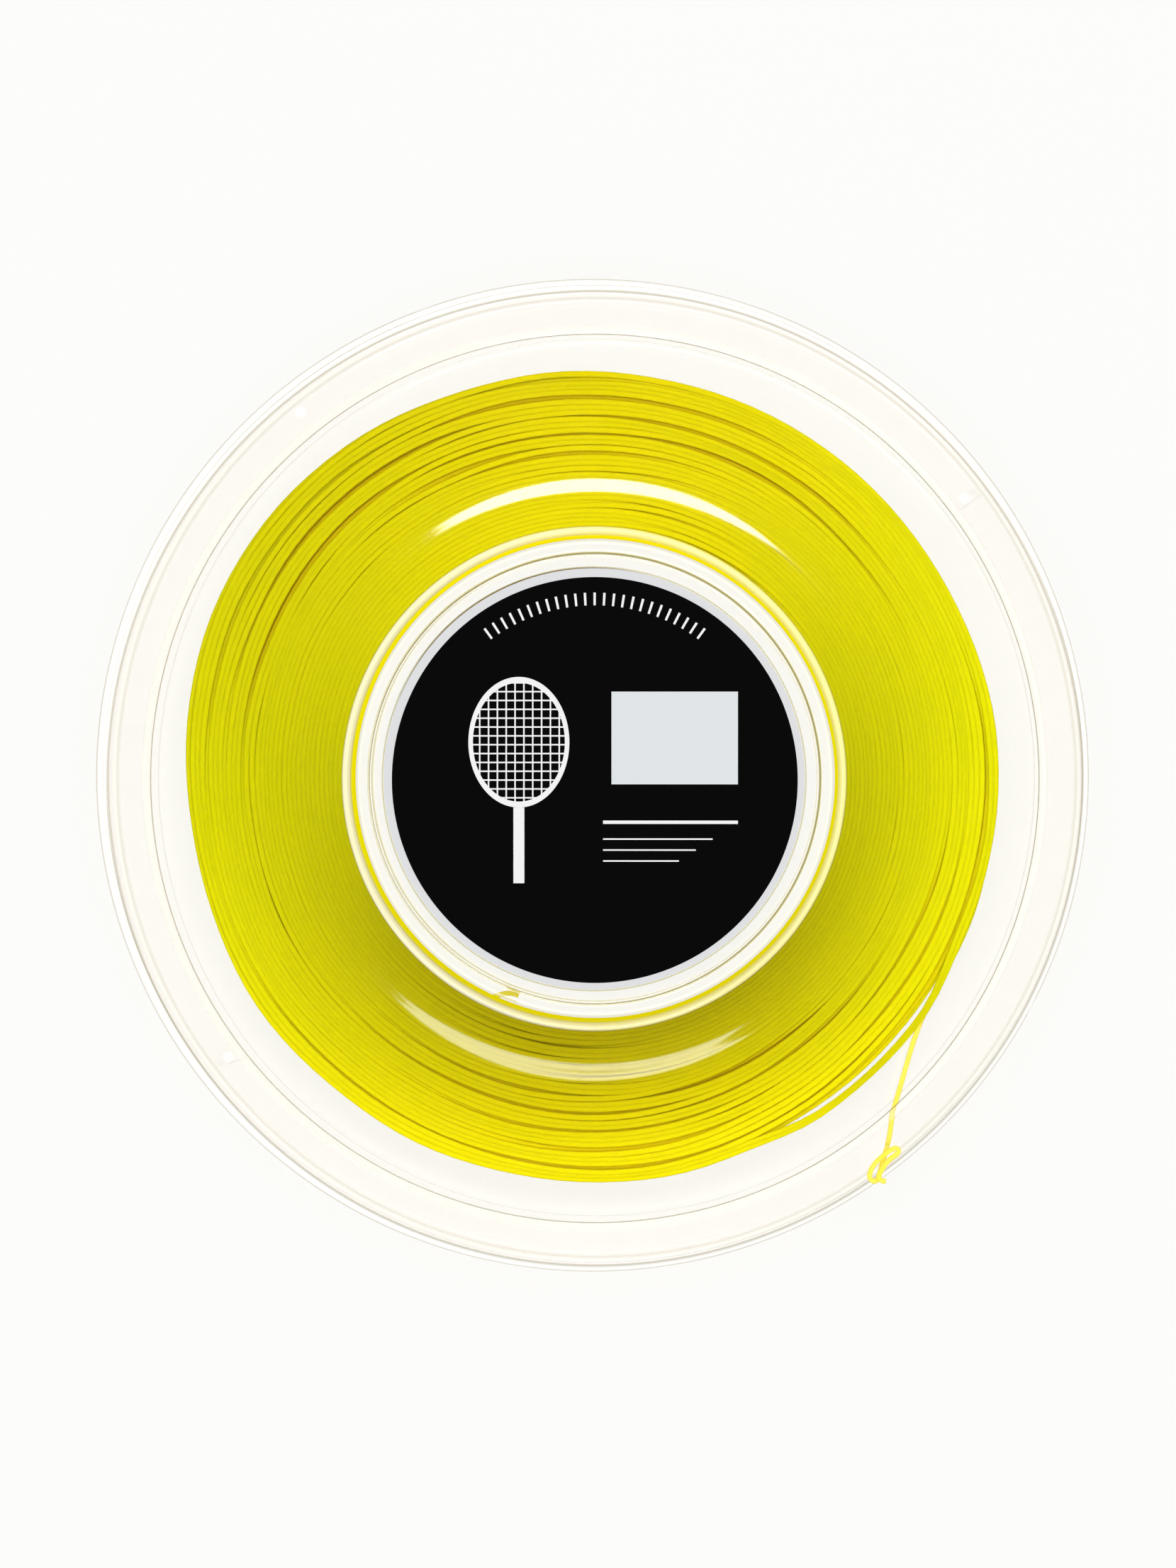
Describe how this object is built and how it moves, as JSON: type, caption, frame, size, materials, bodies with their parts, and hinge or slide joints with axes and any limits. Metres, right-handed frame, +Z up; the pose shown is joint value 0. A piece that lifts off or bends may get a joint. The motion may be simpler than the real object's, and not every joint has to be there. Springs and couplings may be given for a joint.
{
  "type": "string reel",
  "caption": "Flat clear reel of racket string: two formed flanged halves joined at the hub, a round label on each side, and a yellow winding whose end is tied through the rim.",
  "frame": {"origin": "on the surface that the reel lies on, under the reel's axis", "axes": "+Z up along the reel's axis, out of the front label; +Y towards the top of the front label"},
  "size_m": [0.236, 0.236, 0.0243],
  "materials": {
    "clear_sheet": "clear gloss",
    "label_print": "satin print",
    "label_paper": "satin",
    "string": "gloss"
  },
  "bodies": {
    "root": {"front_half": "clear_sheet", "rear_half": "clear_sheet", "front_label": "label_print", "rear_label": "label_paper", "string_core": "string", "string_outer_turns": "string", "string_inner_tail": "string", "string_free_end": "string", "string_knot": "string"}
  },
  "joints": []
}
